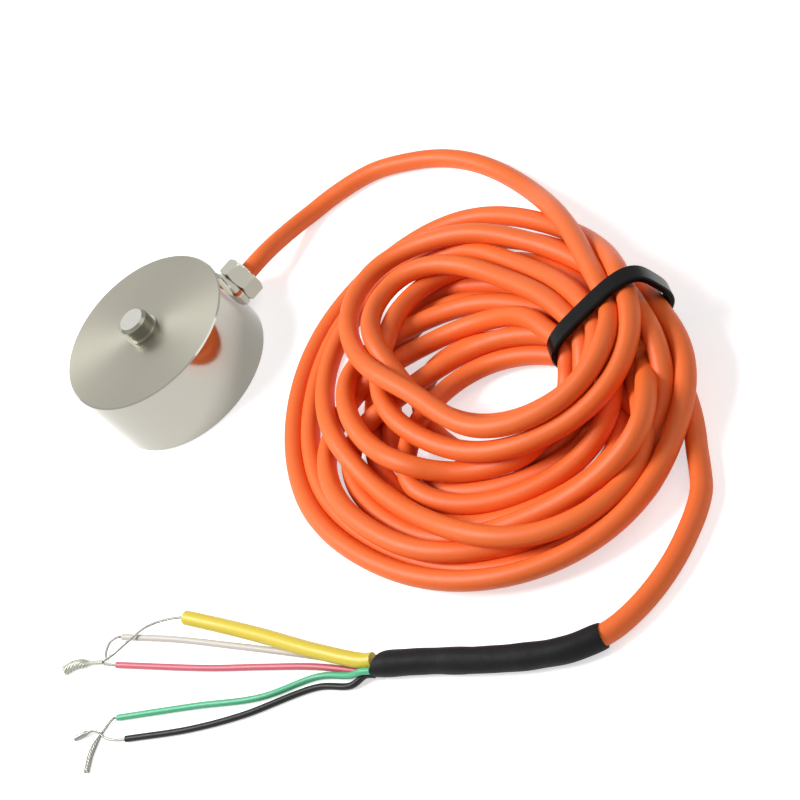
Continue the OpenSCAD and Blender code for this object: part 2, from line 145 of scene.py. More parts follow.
# Turns that show. Every 20 degrees from 0 to 300: how far out the turn appears in the
# photograph, in millimetres, and the layer it lies in. Then the layers that hidden turns lift it.
TURNS = {
    "top": ([28, 30.5, 35.8, 42.5, 51.4, 46.4, 29, 18, 12.7, 10, 8.8, 8.5, 9, 10.7, 14.9, 18.9],
            [1, 1, 1, 1.1, 1.2, 1.4, 1.7, 1.9, 2, 2, 2, 2, 2, 2, 2, 2], 1),
    "under top": ([19.3, 21.5, 26, 36, 45, 39.5, 24, 18, 12.7, 10, 8.8, 8.5, 9, 10.7, 14.9, 18.9],
                  [2, 1.7, 1.4, 1.2, 1.2, 1.2, 1.1, 1, 0.9, 0.8, 0.8, 0.8, 0.8, 0.8, 0.9, 0.9], 0.9),
    "second": ([25, 27.5, 30.5, 35, 37.3, 32.5, 28, 24, 18.5, 15.7, 14, 14.1, 14.4, 16.4, 20.4, 24.8],
               [1, 0.6, 0.2, 0, 0, 0, 0.4, 0.8, 1, 1, 1, 1, 1, 1.1, 1.3, 1.6], 0.8),
    "third": ([17, 17, 20.2, 23.6, 28.6, 35, 35.2, 28.8, 24.4, 20.2, 18.7, 18.3, 18.7, 20.5, 19, 16],
              [1, 0.5, 0, 0, 0, 0, 0, 0, 0, 0, 0, 0, 0, 0, 0.3, 0.9], 0.5),
    "crossing": ([22.5, 25, 30, 38, 44, 46, 41, 33.5, 29.4, 28.1, 28.1, 30.6, 34.7, 37.6, 37, 35],
                 [1.9, 1.4, 0.9, 0.4, 0.2, 0.1, 0, 0, 0, 0.2, 0.6, 1, 1, 0.9, 0.3, 0.3], 0.6),
    "outer": ([31, 36, 40.4, 48.2, 50.5, 50.5, 47.6, 43.9, 40.4, 38.4, 38.8, 39.9, 41.8, 42.9, 39.9, 37.6],
              [1.9, 1.2, 0.5, 0, 0, 0, 0, 0, 0, 0, 0, 0, 0, 0.3, 0.9, 0.8], 0),
    "beside outer": ([14.7, 15, 16.3, 18, 21.4, 26.2, 36, 38.9, 37.3, 34.7, 35.4, 35.3, 37.3, 38.5, 38, 36],
                     [1.9, 1.3, 0.7, 0.2, 0, 0, 0, 0, 0, 0, 0, 0, 0, 0, 0.1, 0.4], 0.3),
    "inner": ([12, 11.5, 11.5, 12.4, 14.7, 17.2, 21.5, 34, 32.9, 31.6, 32, 31.5, 30.5, 32.5, 33.8, 34.4],
              [1, 0.5, 0.1, 0, 0, 0, 0, 0, 0, 0, 0, 0, 0.3, 0.9, 1.6, 2], 0.4),
    "innermost": ([11, 10, 8.5, 9, 10, 11.2, 14.4, 18.5, 23.5, 26, 26, 26.3, 26.1, 27, 28.5, 30.4],
                  [1, 0.5, 0.1, 0, 0, 0, 0, 0, 0, 0, 0, 0, 0, 0, 0.2, 0.5], 0.1),
}
LAYER_H = 3.3
# A raised turn appears farther out on the camera's side: by how much, and in which direction
APPARENT_SHIFT = 1.118
APPARENT_TURN = math.radians(82)
APPARENT_Z = 4

# Turns hidden on the floor, each between two of the others counted outwards, and how far the turn
# is lifted at its last two points before the tie. After the tie all come down in the same way.
HIDDEN_TURNS = {"hidden 1": (1, 2, 4, 7), "hidden 2": (3, 4, 0.8, 2), "hidden 3": (4, 5, 0.8, 2),
                "hidden 4": (7, 8, 0.8, 2)}
COMING_DOWN = [2.5, 0.8]
# Winding order: column and row under the tie, and the turn that follows
WINDING = [
    (3.7, 2, "top"), (4.5, 1, "beside outer"), (1, 2, "third"), (2.5, 1, "innermost"), (1, 0, "hidden 2"),
    (3, 0, "crossing"), (2.8, 2, "under top"), (1.9, 2, "hidden 1"), (2, 0, "hidden 3"), (4, 0, "inner"),
    (1.5, 1, "hidden 4"), (5, 0, "outer"), (4.8, 2, "second"), (3.5, 1, None),
]
# Turns that swing wide after the tie, so that their first point is left out
SWING_WIDE = ("crossing", "inner", "beside outer", "innermost")

# Routes, given as in the part's source, in millimetres
LEAD = [
    (GLAND_OUT, 0, GLAND_Z), (GLAND_OUT + 3, 0, GLAND_Z), (32, 1, 4.9), (38, 2, 3.2), (44, 2, 1.9),
    (50, 0, 1.9), (57, -4, 1.9), (62, -10, 1.9), (66, -17, 1.9), (68.5, -25, 1.9), (69.5, -34, 1.9),
    (69, -44, 2.6), (67.7, -52, 4), (66.1, -58, 5.4), (63.3, -69, 8.6),
]
TAIL = [
    (41.5, -120.76, 1.9), (36, -127, 1.9), (30, -130, 1.9), (23, -132, 1.9), (16, -132.5, 1.9),
    (11, -132, 2.1), (7.5, -131, 2.3), (2.5, -127.5, 2.3), (0, -124.75, 2.3),
]
UNDER_TAIL = (52.5, -107.5, 4)
SLEEVE = [
    (7.5, -131, 2.3), (2.5, -127.5, 2.3), (-2.5, -122, 2.3), (-8, -114.5, 2.3), (-13.5, -106, 2.3),
    (-20, -97, 2.3),
]


# Routes and curves
PIECE_STEPS = 24


def unit(vector):
    return vector / np.linalg.norm(vector)


def even_steps(points, step):
    """The same line with its points at even steps."""
    lengths = np.linalg.norm(np.diff(points, axis=0), axis=1)
    along = np.concatenate([[0], np.cumsum(lengths)])
    wanted = np.linspace(0, along[-1], int(round(along[-1] / step)) + 1)
    return np.stack([np.interp(wanted, along, points[:, axis]) for axis in range(3)], axis=1)


def smooth_line(points, step):
    """A smooth line through the points, at even steps."""
    points = np.array(points, dtype=float)
    padded = np.vstack([2 * points[0] - points[1], points, 2 * points[-1] - points[-2]])
    pieces = []
    for a, b, c, d in zip(padded, padded[1:], padded[2:], padded[3:]):
        knots = np.cumsum([0] + [np.linalg.norm(q - p) ** 0.5 for p, q in ((a, b), (b, c), (c, d))])
        t = np.linspace(knots[1], knots[2], PIECE_STEPS, endpoint=False)[:, None]

        def between(p, q, first, last):
            return ((knots[last] - t) * p + (t - knots[first]) * q) / (knots[last] - knots[first])

        ab, bc, cd = between(a, b, 0, 1), between(b, c, 1, 2), between(c, d, 2, 3)
        pieces.append(between(between(ab, bc, 0, 2), between(bc, cd, 1, 3), 1, 2))
    return even_steps(np.vstack(pieces + [points[-1:]]), step)


def in_tie(across, up, along):
    """A place in the leaning bundle, measured from its middle."""
    flat = across * math.cos(TIE_TILT) - up * math.sin(TIE_TILT)
    x, y = TIE_MID + TIE_ACROSS * flat + TIE_RUN * along
    return (x, y, TIE_Z + across * math.sin(TIE_TILT) + up * math.cos(TIE_TILT))


def turn_routes():
    """Radii and heights of each turn's middle line, every 20 degrees from 0 to 300."""
    angles = np.radians(np.arange(0, 301, 20))
    routes = {}
    for name, (seen_at, layers, lift) in TURNS.items():
        heights = CABLE_D / 2 + LAYER_H * (np.array(layers) + lift)
        shift = APPARENT_SHIFT * np.cos(angles - APPARENT_TURN)
        routes[name] = (np.array(seen_at) - (heights - APPARENT_Z) * shift, heights)
    ranked = np.sort([radii for radii, heights in routes.values()], axis=0)
    for name, (inner, outer, *going_up) in HIDDEN_TURNS.items():
        flat = [0] * (len(angles) - len(COMING_DOWN) - len(going_up))
        heights = CABLE_D / 2 + np.array(COMING_DOWN + flat + going_up)
        routes[name] = ((ranked[inner] + ranked[outer]) / 2, heights)
    return angles, routes


def cable_points():
    """Points of the whole cable, from the gland through the coil to the shrink sleeve."""
    angles, routes = turn_routes()
    points = list(LEAD)
    for column, row, name in WINDING:
        across = (column - MIDDLE_COLUMN) * CABLE_D
        up = (row - MIDDLE_ROW) * ROW_H
        points += [in_tie(across, up, STRAIGHT_HALF_L), in_tie(across, up, -STRAIGHT_HALF_L)]
        if name is None:
            continue
        stations = list(zip(angles, *routes[name]))[::-1]
        if name in HIDDEN_TURNS:
            stations = stations[1:-1]
        elif name in SWING_WIDE:
            stations = stations[1:]
        for angle, radius, height in stations:
            x, y = COIL_MID + radius * np.array([math.cos(angle), math.sin(angle)])
            points.append((x, y, height))
    return points + [UNDER_TAIL] + TAIL


def blur(values, width):
    """Each column of values, evened out along the line over about width points."""
    reach = int(3 * width) + 1
    weights = np.exp(-0.5 * (np.arange(-reach, reach + 1) / width) ** 2)
    padded = np.pad(values, ((reach, reach), (0, 0)), mode="edge")
    columns = [np.convolve(padded[:, k], weights / weights.sum(), "valid") for k in range(3)]
    return np.stack(columns, axis=1)


# Settling of the cable: what the tie holds, in millimetres, and what the routes hold, in points
TIE_REACH = 13
TIE_HOLDS = 1.5
TIE_FREES_OVER = 10
START_HELD = 41
END_HELD = 24
ENDS_FREE_OVER = 6
# A stretch of cable this long, in diameters, doesn't push on itself
OWN_STRETCH = 2.2
FAR = 99
NEAREST = 0.3
# Turns aim at this share of a diameter apart, and stay this share of a radius above the floor
APART = 1.02
ON_FLOOR = 0.98
# Share of each push and of the way home that is taken in a round, and of the way home that
# doesn't count along the line of sight
PUSH = 0.5
HOME = 0.04
SIGHT_FREE = 0.9
FIRST_BLUR = 3.5
PUSH_BLUR = 3
LAST_BLUR = 1.2
BLUR_EVERY = 40


def settle(line, step, rounds):
    """Pushes the turns apart until the cable lies on itself and the floor and not in them.
    A turn may slide along the line of sight, and is held at its place in the photograph."""
    count = len(line)
    index = np.arange(count)
    offset = line[:, :2] - TIE_MID
    along, across = np.abs(offset @ TIE_RUN), np.abs(offset @ TIE_ACROSS)
    near_tie = np.where(across > TIE_REACH, 1, np.clip((along - TIE_HOLDS) / TIE_FREES_OVER, 0, 1))
    from_start = np.clip((index - START_HELD) / ENDS_FREE_OVER, 0, 1)
    from_end = np.clip((count - END_HELD - index) / ENDS_FREE_OVER, 0, 1)
    ends = (from_start * from_end)[:, None]
    free = near_tie[:, None] * ends
    line = line * (1 - free) + blur(line, FIRST_BLUR) * free
    start = line.copy()
    own_stretch = np.abs(index[:, None] - index[None, :]) <= int(OWN_STRETCH * CABLE_D / step)
    for number in range(rounds):
        apart = line[:, None, :] - line[None, :, :]
        distance = np.sqrt((apart ** 2).sum(axis=2))
        distance[own_stretch] = FAR
        push = np.clip(CABLE_D * APART - distance, 0, None) / np.maximum(distance, NEAREST)
        move = (push[:, :, None] * apart).sum(axis=1)
        move[:, 2] += np.clip(CABLE_D / 2 - line[:, 2], 0, None)
        home = start - line
        home -= SIGHT_FREE * (home @ CAMERA_BACK)[:, None] * CAMERA_BACK
        line = line + free * (blur(move * PUSH, PUSH_BLUR) + HOME * home)
        line[:, 2] = np.maximum(line[:, 2], CABLE_D / 2 * ON_FLOOR)
        if number % BLUR_EVERY == BLUR_EVERY - 1:
            line = line * (1 - free) + blur(line, LAST_BLUR) * free
    return line * (1 - ends) + blur(line, LAST_BLUR) * ends


# Meshes
def add_object(name, mesh):
    made = bpy.data.objects.new(name, mesh)
    bpy.context.scene.collection.objects.link(made)
    return made


def mesh_object(name, corners, faces, sharp=35):
    """A closed mesh in metres from corners in millimetres, smooth apart from its sharp edges."""
    mesh = bpy.data.meshes.new(name)
    mesh.from_pydata([tuple(c * MM for c in corner) for corner in corners], [], faces)
    shade(mesh, sharp)
    return add_object(name, mesh)


def shade(mesh, sharp):
    """Turns the faces outwards and smooths them, apart from edges sharper than an angle."""
    build = bmesh.new()
    build.from_mesh(mesh)
    bmesh.ops.recalc_face_normals(build, faces=build.faces)
    limit = math.radians(sharp)
    for face in build.faces:
        face.smooth = True
    for edge in build.edges:
        edge.smooth = len(edge.link_faces) == 2 and edge.calc_face_angle(0) < limit
    build.to_mesh(mesh)
    build.free()


def rings_along(path, radii, sides):
    """Rings of points round a path, carried along it without twisting."""
    path = np.asarray(path, dtype=float)
    directions = np.gradient(path, axis=0)
    directions /= np.linalg.norm(directions, axis=1)[:, None]
    side = np.cross(directions[0], [0, 0, 1])
    if np.linalg.norm(side) < 0.1:
        side = np.cross(directions[0], [1, 0, 0])
    rings = []
    angles = np.linspace(0, 2 * math.pi, sides, endpoint=False)
    for centre, direction, radius in zip(path, directions, radii):
        side = unit(side - direction * (side @ direction))
        up = np.cross(direction, side)
        spread = np.atleast_1d(radius)[:, None]
        rings.append(centre + spread * (np.cos(angles)[:, None] * side + np.sin(angles)[:, None] * up))
    return rings


def skin_rings(rings, closed=False):
    """Corners and faces of a skin over rings, with flat ends."""
    sides = len(rings[0])
    corners = [tuple(p) for ring in rings for p in ring]
    faces = []
    for i in range(len(rings) if closed else len(rings) - 1):
        j = (i + 1) % len(rings)
        for k in range(sides):
            m = (k + 1) % sides
            faces.append((i * sides + k, i * sides + m, j * sides + m, j * sides + k))
    if not closed:
        faces.append(tuple(reversed(range(sides))))
        faces.append(tuple(range((len(rings) - 1) * sides, len(rings) * sides)))
    return corners, faces


def add_path_map(made, rings, closed=False):
    """UV map: u in metres along the path, v once round it."""
    sides = len(rings[0])
    centres = np.array([np.mean(ring, axis=0) for ring in rings]) * MM
    along = np.concatenate([[0], np.cumsum(np.linalg.norm(np.diff(centres, axis=0), axis=1))])
    layer = made.data.uv_layers.new(name="path")
    for polygon in made.data.polygons:
        numbers = [made.data.loops[i].vertex_index for i in polygon.loop_indices]
        wraps = len(numbers) == 4 and {n % sides for n in numbers} == {0, sides - 1}
        for loop, number in zip(polygon.loop_indices, numbers):
            turn = number % sides
            turn = sides if wraps and turn == 0 else turn
            layer.data[loop].uv = (along[number // sides], turn / sides)


def tube(name, path, diameter, sides=16, radii=None, sharp=50):
    """A round rod along a path; radii may give its own shape, one number or ring each."""
    radii = [diameter / 2] * len(path) if radii is None else radii
    rings = rings_along(path, radii, sides)
    made = mesh_object(name, *skin_rings(rings), sharp=sharp)
    add_path_map(made, rings)
    return made


def lathe(name, profile, segments=192, axis="Z", centre=(0, 0, 0), sharp=25):
    """A closed turned piece from its half section: pairs of radius and height."""
    build = bmesh.new()
    ring = [build.verts.new((r * MM, 0, h * MM)) for r, h in profile]
    edges = [build.edges.new((ring[i], ring[(i + 1) % len(ring)])) for i in range(len(ring))]
    on_axis = [e for e in edges if all(abs(v.co.x) < 1e-9 for v in e.verts)]
    for edge in on_axis:
        edges.remove(edge)
        build.edges.remove(edge)
    bmesh.ops.spin(build, geom=ring + edges, axis=(0, 0, 1), cent=(0, 0, 0), steps=segments,
                   angle=2 * math.pi, use_merge=True)
    bmesh.ops.remove_doubles(build, verts=build.verts, dist=1e-7)
    bmesh.ops.recalc_face_normals(build, faces=build.faces)
    mesh = bpy.data.meshes.new(name)
    build.to_mesh(mesh)
    build.free()
    turn = Matrix.Rotation(math.pi / 2, 4, "Y") if axis == "X" else Matrix()
    mesh.transform(Matrix.Translation(Vector(centre) * MM) @ turn)
    shade(mesh, sharp)
    return add_object(name, mesh)


# Camera
def add_camera():
    back = Vector(CAMERA_BACK)
    right = Vector((0, 0, 1)).cross(back).normalized()
    up = back.cross(right)
    rolled_right = right * math.cos(ROLL) + up * math.sin(ROLL)
    rolled_up = up * math.cos(ROLL) - right * math.sin(ROLL)
    data = bpy.data.cameras.new("camera")
    data.lens = LENS
    data.sensor_width = 36
    data.clip_start = 0.01
    made = bpy.data.objects.new("camera", data)
    matrix = Matrix((rolled_right, rolled_up, back)).transposed().to_4x4()
    matrix.translation = TARGET + back * DISTANCE
    made.matrix_world = matrix
    bpy.context.scene.collection.objects.link(made)
    bpy.context.scene.camera = made


add_camera()

# Cable: lead, coil and tail in one line
STEP = 2
ROUNDS = 120
cable_line = settle(smooth_line(cable_points(), STEP), STEP, ROUNDS)
cable_line = smooth_line(cable_line[::2], 1)
cable = tube("cable", cable_line, CABLE_D, sides=20)

# Mouth of the shrink sleeve, and where each core starts in it
mouth = np.array(SLEEVE[-1], dtype=float)
mouth_dir = unit(mouth - np.array(SLEEVE[-2]))
mouth_side = np.array([mouth_dir[1], -mouth_dir[0], 0])
CORE_RING_R = SLEEVE_D / 2 - CORE_D / 2
OUT_OF_MOUTH = 0.05
STRAIGHT_OUT = 2


def at_mouth(radius, turn, out):
    """A place in front of the mouth: how far from its middle, at which turn, and how far out."""
    angle = math.radians(turn)
    across = radius * (math.cos(angle) * mouth_side + math.sin(angle) * np.array([0, 0, 1]))
    return tuple(mouth + across + out * mouth_dir)


def from_mouth(radius, turn, points):
    return [at_mouth(radius, turn, OUT_OF_MOUTH), at_mouth(radius, turn, STRAIGHT_OUT)] + points


CORE_R = CORE_D / 2
CORES = {
    "white": from_mouth(CORE_RING_R, -55, [
        (-26.5, -81.5, CORE_R), (-34.5, -65, CORE_R), (-41, -52, CORE_R), (-47.5, -40.5, CORE_R)]),
    "red": from_mouth(CORE_RING_R, -103, [
        (-27, -85, CORE_R), (-33, -75.5, CORE_R), (-40.5, -64, CORE_R), (-52, -44.5, CORE_R)]),
    "green": from_mouth(CORE_RING_R, 155, [
        (-24, -94, 1.9), (-28, -87, CORE_R), (-37.5, -79.5, CORE_R), (-47, -68, CORE_R),
        (-58.5, -54.5, CORE_R)]),
    "black": from_mouth(CORE_RING_R, 207, [
        (-25.3, -94.6, 0.8), (-29.5, -88.5, CORE_R), (-42, -79, CORE_R), (-50.5, -71, CORE_R),
        (-60, -60, CORE_R)]),
}
YELLOW = from_mouth(0.88, 53, [(-25, -84.5, 2.9), (-29.5, -70.5, 2), (-33, -60.5, 1.4), (-36.5, -51.5, 1.4)])
TWIST = [(-53.5, -41, 0.7), (-56, -37.5, 0.7), (-58, -35.2, 0.7), (-60, -34.2, 0.7)]
twist_dir = unit(np.array(TWIST[1]) - np.array(TWIST[0]))
twist_side = np.array([twist_dir[1], -twist_dir[0], 0])
BEFORE_TWIST = 0.3


def at_twist(side, height):
    """A place just before the near end of the twist."""
    place = np.array(TWIST[0]) - BEFORE_TWIST * twist_dir + side * twist_side
    return (place[0], place[1], height)


def end_dir(points):
    return unit(np.array(points[-1], dtype=float) - np.array(points[-2]))


def from_cut(points, out, rest):
    """A conductor's route: straight out of its core's cut end, then through the other points."""
    return [points[-1], tuple(np.array(points[-1]) + out * end_dir(points))] + rest


STRANDS = {
    "white": from_cut(CORES["white"], 1, [(-49.8, -38.8, 0.8), (-51.8, -39.6, 0.6), at_twist(0.4, 0.5)]),
    "red": from_cut(CORES["red"], 1, [at_twist(-0.4, 0.5)]),
    "green": from_cut(CORES["green"], 1, [(-62.5, -53.5, 0.25), (-66.5, -55, 0.25), (-69.5, -57.5, 0.25)]),
    "black": from_cut(CORES["black"], 1, [(-62.5, -56.5, 0.9), (-63.3, -52.5, 1.1), (-67, -49, 0.25)]),
}
yellow_end = np.array(YELLOW[-1], dtype=float)
SCREEN = [
    tuple(yellow_end - YELLOW_OPEN * end_dir(YELLOW)), tuple(yellow_end + 0.5 * end_dir(YELLOW)),
    (-40, -47, 1.5), (-43.5, -44.8, 1.9), (-48, -43.4, 1.6), (-51.5, -42.2, 1.2), at_twist(0, 1.1),
]
core_lines = {name: smooth_line(points, 0.6) for name, points in CORES.items()}
cores = {name: tube(name + "_core_look", line, CORE_D) for name, line in core_lines.items()}


# Pieces at the cable's end
def bare_strands(name, points, wires, lay_r, wire_d, turns, swell=0, swell_from=0.5):
    """A conductor of fine wires laid round each other, that may swell towards its tinned end."""
    line = smooth_line(points, 0.25)
    t = np.linspace(0, 1, len(line))
    rise = np.clip((t - swell_from) / (1 - swell_from) * 2.5, 0, 1)
    size = 1 + swell * rise * rise * (3 - 2 * rise)
    directions = np.gradient(line, axis=0)
    directions /= np.linalg.norm(directions, axis=1)[:, None]
    side = np.cross(directions, [0, 0, 1])
    side /= np.linalg.norm(side, axis=1)[:, None]
    up = np.cross(side, directions)
    all_corners, all_faces = [], []
    for wire in range(wires):
        angle = 2 * math.pi * (wire / wires + turns * t)
        around = np.cos(angle)[:, None] * side + np.sin(angle)[:, None] * up
        path = line + lay_r * size[:, None] * around
        path[:, 2] = np.maximum(path[:, 2], wire_d / 2 * size)
        corners, faces = skin_rings(rings_along(path, wire_d / 2 * size, 6))
        shift = len(all_corners)
        all_corners += corners
        all_faces += [tuple(n + shift for n in face) for face in faces]
    return mesh_object(name, all_corners, all_faces, sharp=60)


# How far each bare end swells with its tin, and from where along it
SWELLS = {"white": (0, 0.5), "red": (0, 0.5), "green": (1.5, 0.35), "black": (1.3, 0.7)}
strands = {
    name: bare_strands(name + "_strands_look", points, WIRES, LAY_R, WIRE_D, 3, *SWELLS[name])
    for name, points in STRANDS.items()
}
screen = bare_strands("screen_wire_look", SCREEN, WIRES, LAY_R, WIRE_D, turns=5)
twist = bare_strands("twist_look", TWIST, wires=9, lay_r=0.3, wire_d=0.2, turns=1.3, swell=1.4,
                     swell_from=0.3)


def sleeve_piece():
    """Shrink sleeve: a little uneven over the joint, and open at its mouth."""
    sides = 32
    slanted_rings = 6
    lip_share = 0.86
    throat_share = 0.8
    throat_depth = 1.2
    line = smooth_line(SLEEVE, 0.5)
    along = np.linspace(0, 1, len(line))
    angles = np.linspace(0, 2 * math.pi, sides, endpoint=False)
    radii = []
    for t in along:
        swell = 1 + 0.015 * math.sin(23 * t) + 0.012 * math.sin(41 * t + 1)
        ends = 1 - 0.06 * math.exp(-t / 0.02) - 0.05 * math.exp(-(1 - t) / 0.015)
        dents = 0.012 * np.sin(3 * angles + 9 * t) + 0.008 * np.sin(5 * angles - 17 * t)
        radii.append(SLEEVE_D / 2 * ends * (swell + dents))
    rings = rings_along(line, radii, sides)
    centre = np.array(line[-1])
    # The open end is cut at a slant
    for number in range(1, slanted_rings + 1):
        slant = (rings[-number] - line[-number]) @ mouth_side / (SLEEVE_D / 2)
        share = (slanted_rings + 1 - number) / slanted_rings
        rings[-number] = rings[-number] - np.outer(1 + slant, mouth_dir) * share
    lip = [centre + (p - centre) * lip_share for p in rings[-1]]
    inside = [centre - mouth_dir * throat_depth + (p - centre) * throat_share for p in rings[-1]]
    rings += [np.array(lip), np.array(inside)]
    return mesh_object("sleeve_look", *skin_rings(rings), sharp=50)


def yellow_piece():
    """Thin yellow sleeve with an open, square-cut end."""
    line = smooth_line(YELLOW, 0.5)
    outside = rings_along(line, [YELLOW_D / 2] * len(line), 28)
    direction = end_dir(YELLOW)
    rings = outside + [np.array([line[-1] + (p - line[-1]) * YELLOW_BORE / YELLOW_D for p in outside[-1]])]
    rings.append(rings[-1] - direction * YELLOW_OPEN)
    return mesh_object("yellow_sleeve_look", *skin_rings(rings), sharp=40)


sleeve = sleeve_piece()
yellow = yellow_piece()


# Tie
def strap_outline(turn):
    """A point of the strap's outer outline, and the direction out of it."""
    c, s = math.cos(turn), math.sin(turn)
    x = math.copysign(abs(c) ** (2 / STRAP_SQUARE), c)
    y = math.copysign(abs(s) ** (2 / STRAP_SQUARE), s)
    out = np.array([math.copysign(abs(x) ** (STRAP_SQUARE - 1), x) / STRAP_HALF_W,
                    math.copysign(abs(y) ** (STRAP_SQUARE - 1), y) / STRAP_HALF_H])
    return np.array([x * STRAP_HALF_W, y * STRAP_HALF_H]), unit(out)


def tie_piece():
    """Strap round the leaning bundle; its head, underneath the raised side, is made on its own."""
    edge = TIE_EDGE
    half = TIE_W / 2
    section = [(-TIE_T, edge - half), (-TIE_T, half - edge), (edge - TIE_T, half), (-edge, half),
               (0, half - edge), (0, edge - half), (-edge, -half), (edge - TIE_T, -half)]
    rings = []
    for turn in np.linspace(0, 2 * math.pi, 96, endpoint=False):
        place, out = strap_outline(turn)
        rings.append(np.array([in_tie(*(place + depth * out), along) for depth, along in section]))
    return mesh_object("tie_strap", *skin_rings(rings, closed=True), sharp=40)


def tie_head_piece():
    """Head of the tie, a rounded block under the bundle."""
    top = -STRAP_HALF_H + TIE_T / 2
    build = bmesh.new()
    corners = []
    for up in (-HEAD_BOTTOM, top):
        for across, along in ((HEAD_START, -HEAD_HALF_L), (HEAD_END, -HEAD_HALF_L), (HEAD_END, HEAD_HALF_L),
                              (HEAD_START, HEAD_HALF_L)):
            corners.append(build.verts.new(tuple(c * MM for c in in_tie(across, up, along))))
    for numbers in ((3, 2, 1, 0), (4, 5, 6, 7), (0, 1, 5, 4), (1, 2, 6, 5), (2, 3, 7, 6), (3, 0, 4, 7)):
        build.faces.new([corners[n] for n in numbers])
    bmesh.ops.bevel(build, geom=build.edges, offset=HEAD_EDGE * MM, offset_type="OFFSET", segments=3,
                    profile=0.5, material=-1, affect="EDGES")
    mesh = bpy.data.meshes.new("tie_head")
    build.to_mesh(mesh)
    build.free()
    shade(mesh, 40)
    return add_object("tie_head", mesh)


strap = tie_piece()
tie_head = tie_head_piece()


# Body and gland
def cut_away(made, cutters):
    """Takes the cutters out of the piece."""
    for cutter in cutters:
        step = made.modifiers.new("cut", "BOOLEAN")
        step.operation = "DIFFERENCE"
        step.object = cutter
    bpy.context.view_layer.update()
    finished = bpy.data.meshes.new_from_object(made.evaluated_get(bpy.context.evaluated_depsgraph_get()))
    made.modifiers.clear()
    made.data = finished
    for cutter in cutters:
        bpy.data.objects.remove(cutter)


def body_piece():
    """Turned body, with its bore, mounting holes in the base and the gland's spot face."""
    bottom = [(0, BOSS_H), (BOSS_R, BOSS_H), (BOSS_R, CAVITY_H - CAVITY_CORNER),
              (BOSS_R + CAVITY_CORNER, CAVITY_H), (CAVITY_R - CAVITY_CORNER, CAVITY_H),
              (CAVITY_R, CAVITY_H - CAVITY_CORNER), (CAVITY_R, BOARD_SEAT_H), (BOARD_SEAT_R, BOARD_SEAT_H),
              (BOARD_SEAT_R, COVER_SEAT_H), (COVER_SEAT_R, COVER_SEAT_H), (COVER_SEAT_R, 0)]
    wall = [(BODY_R - EDGE, 0), (BODY_R, EDGE), (BODY_R, BODY_H - EDGE), (BODY_R - EDGE, BODY_H)]
    button = [(FOOT_R, BODY_H), (FOOT_R, BODY_H + FOOT_H), (BUTTON_R, BODY_H + FOOT_H),
              (BUTTON_R, BODY_H + BUTTON_H - BUTTON_EDGE), (BUTTON_R - BUTTON_EDGE, BODY_H + BUTTON_H),
              (0, BODY_H + BUTTON_H)]
    made = lathe("body_look", bottom + wall + button)
    cutters = []
    for number in range(3):
        angle = math.radians(60 + 120 * number)
        spot = (SCREW_CIRCLE_R * math.cos(angle), SCREW_CIRCLE_R * math.sin(angle), 0)
        hole = [(0, -1), (SCREW_HOLE_R, -1), (SCREW_HOLE_R, SCREW_HOLE_H), (0, SCREW_HOLE_H)]
        cutters.append(lathe("hole", hole, segments=32, centre=spot))
    past_wall = BODY_R + 6
    spot_face = [(0, SEAT_X), (SPOT_FACE_R, SEAT_X), (SPOT_FACE_R, past_wall), (0, past_wall)]
    thread_hole = [(0, WIRE_WAY_X), (WIRE_WAY_R, WIRE_WAY_X), (WIRE_WAY_R, THREAD_HOLE_X),
                   (THREAD_HOLE_R, THREAD_HOLE_X), (THREAD_HOLE_R, BODY_R), (0, BODY_R)]
    for name, profile in (("spot_face", spot_face), ("thread_hole", thread_hole)):
        cutters.append(lathe(name, profile, segments=64, axis="X", centre=(0, 0, GLAND_Z)))
    cut_away(made, cutters)
    shade(made.data, 25)
    return made


def flange_piece():
    """Gland body: the thread in the wall, the flange, and the stem that carries the nut."""
    bore = CABLE_D / 2 + CABLE_GAP
    profile = [(bore, THREAD_X), (THREAD_R - THREAD_EDGE, THREAD_X), (THREAD_R, THREAD_X + THREAD_EDGE),
               (THREAD_R, SEAT_X), (FLANGE_R, SEAT_X), (FLANGE_R, FLANGE_X - FLANGE_EDGE),
               (FLANGE_R - FLANGE_EDGE, FLANGE_X), (STEM_R, FLANGE_X), (STEM_R, STEM_EDGE_X),
               (STEM_R - THREAD_EDGE, STEM_X), (bore, STEM_X)]
    return lathe("gland_look", profile, segments=96, axis="X", centre=(0, 0, GLAND_Z))


def nut_piece():
    """Hexagon nut with turned-off corners, bored for the cable."""
    corner_r = NUT_AF / math.sqrt(3)
    flat_r = NUT_AF / 2
    sides = 120
    rings = []
    heights = np.concatenate([np.linspace(0, NUT_EDGE, 5), np.linspace(NUT_L - NUT_EDGE, NUT_L, 5)])
    for height in heights:
        inset = min(height, NUT_L - height)
        start_r = flat_r - NUT_EDGE_IN
        cone = start_r + (corner_r - start_r) * min(1, inset / NUT_EDGE)
        ring = []
        for n in range(sides):
            angle = 2 * math.pi * n / sides
            nearest = (angle + math.pi / 6) % (math.pi / 3) - math.pi / 6
            radius = min(flat_r / math.cos(nearest), cone)
            turned = angle + NUT_TURN + math.pi / 6
            ring.append((NUT_X + height, radius * math.cos(turned), GLAND_Z + radius * math.sin(turned)))
        rings.append(np.array(ring))
    bore = CABLE_D / 2 + CABLE_GAP
    out_x = NUT_X + NUT_L
    end_wall_x = out_x - NUT_END_WALL
    angles = 2 * math.pi * np.arange(sides) / sides + NUT_TURN + math.pi / 6
    for x, radius in ((out_x, bore), (end_wall_x, bore), (end_wall_x, THREAD_R), (NUT_X, THREAD_R)):
        rings.append(np.stack([np.full(sides, x), radius * np.cos(angles), GLAND_Z + radius * np.sin(angles)],
                              axis=1))
    return mesh_object("nut_look", *skin_rings(rings, closed=True), sharp=25)


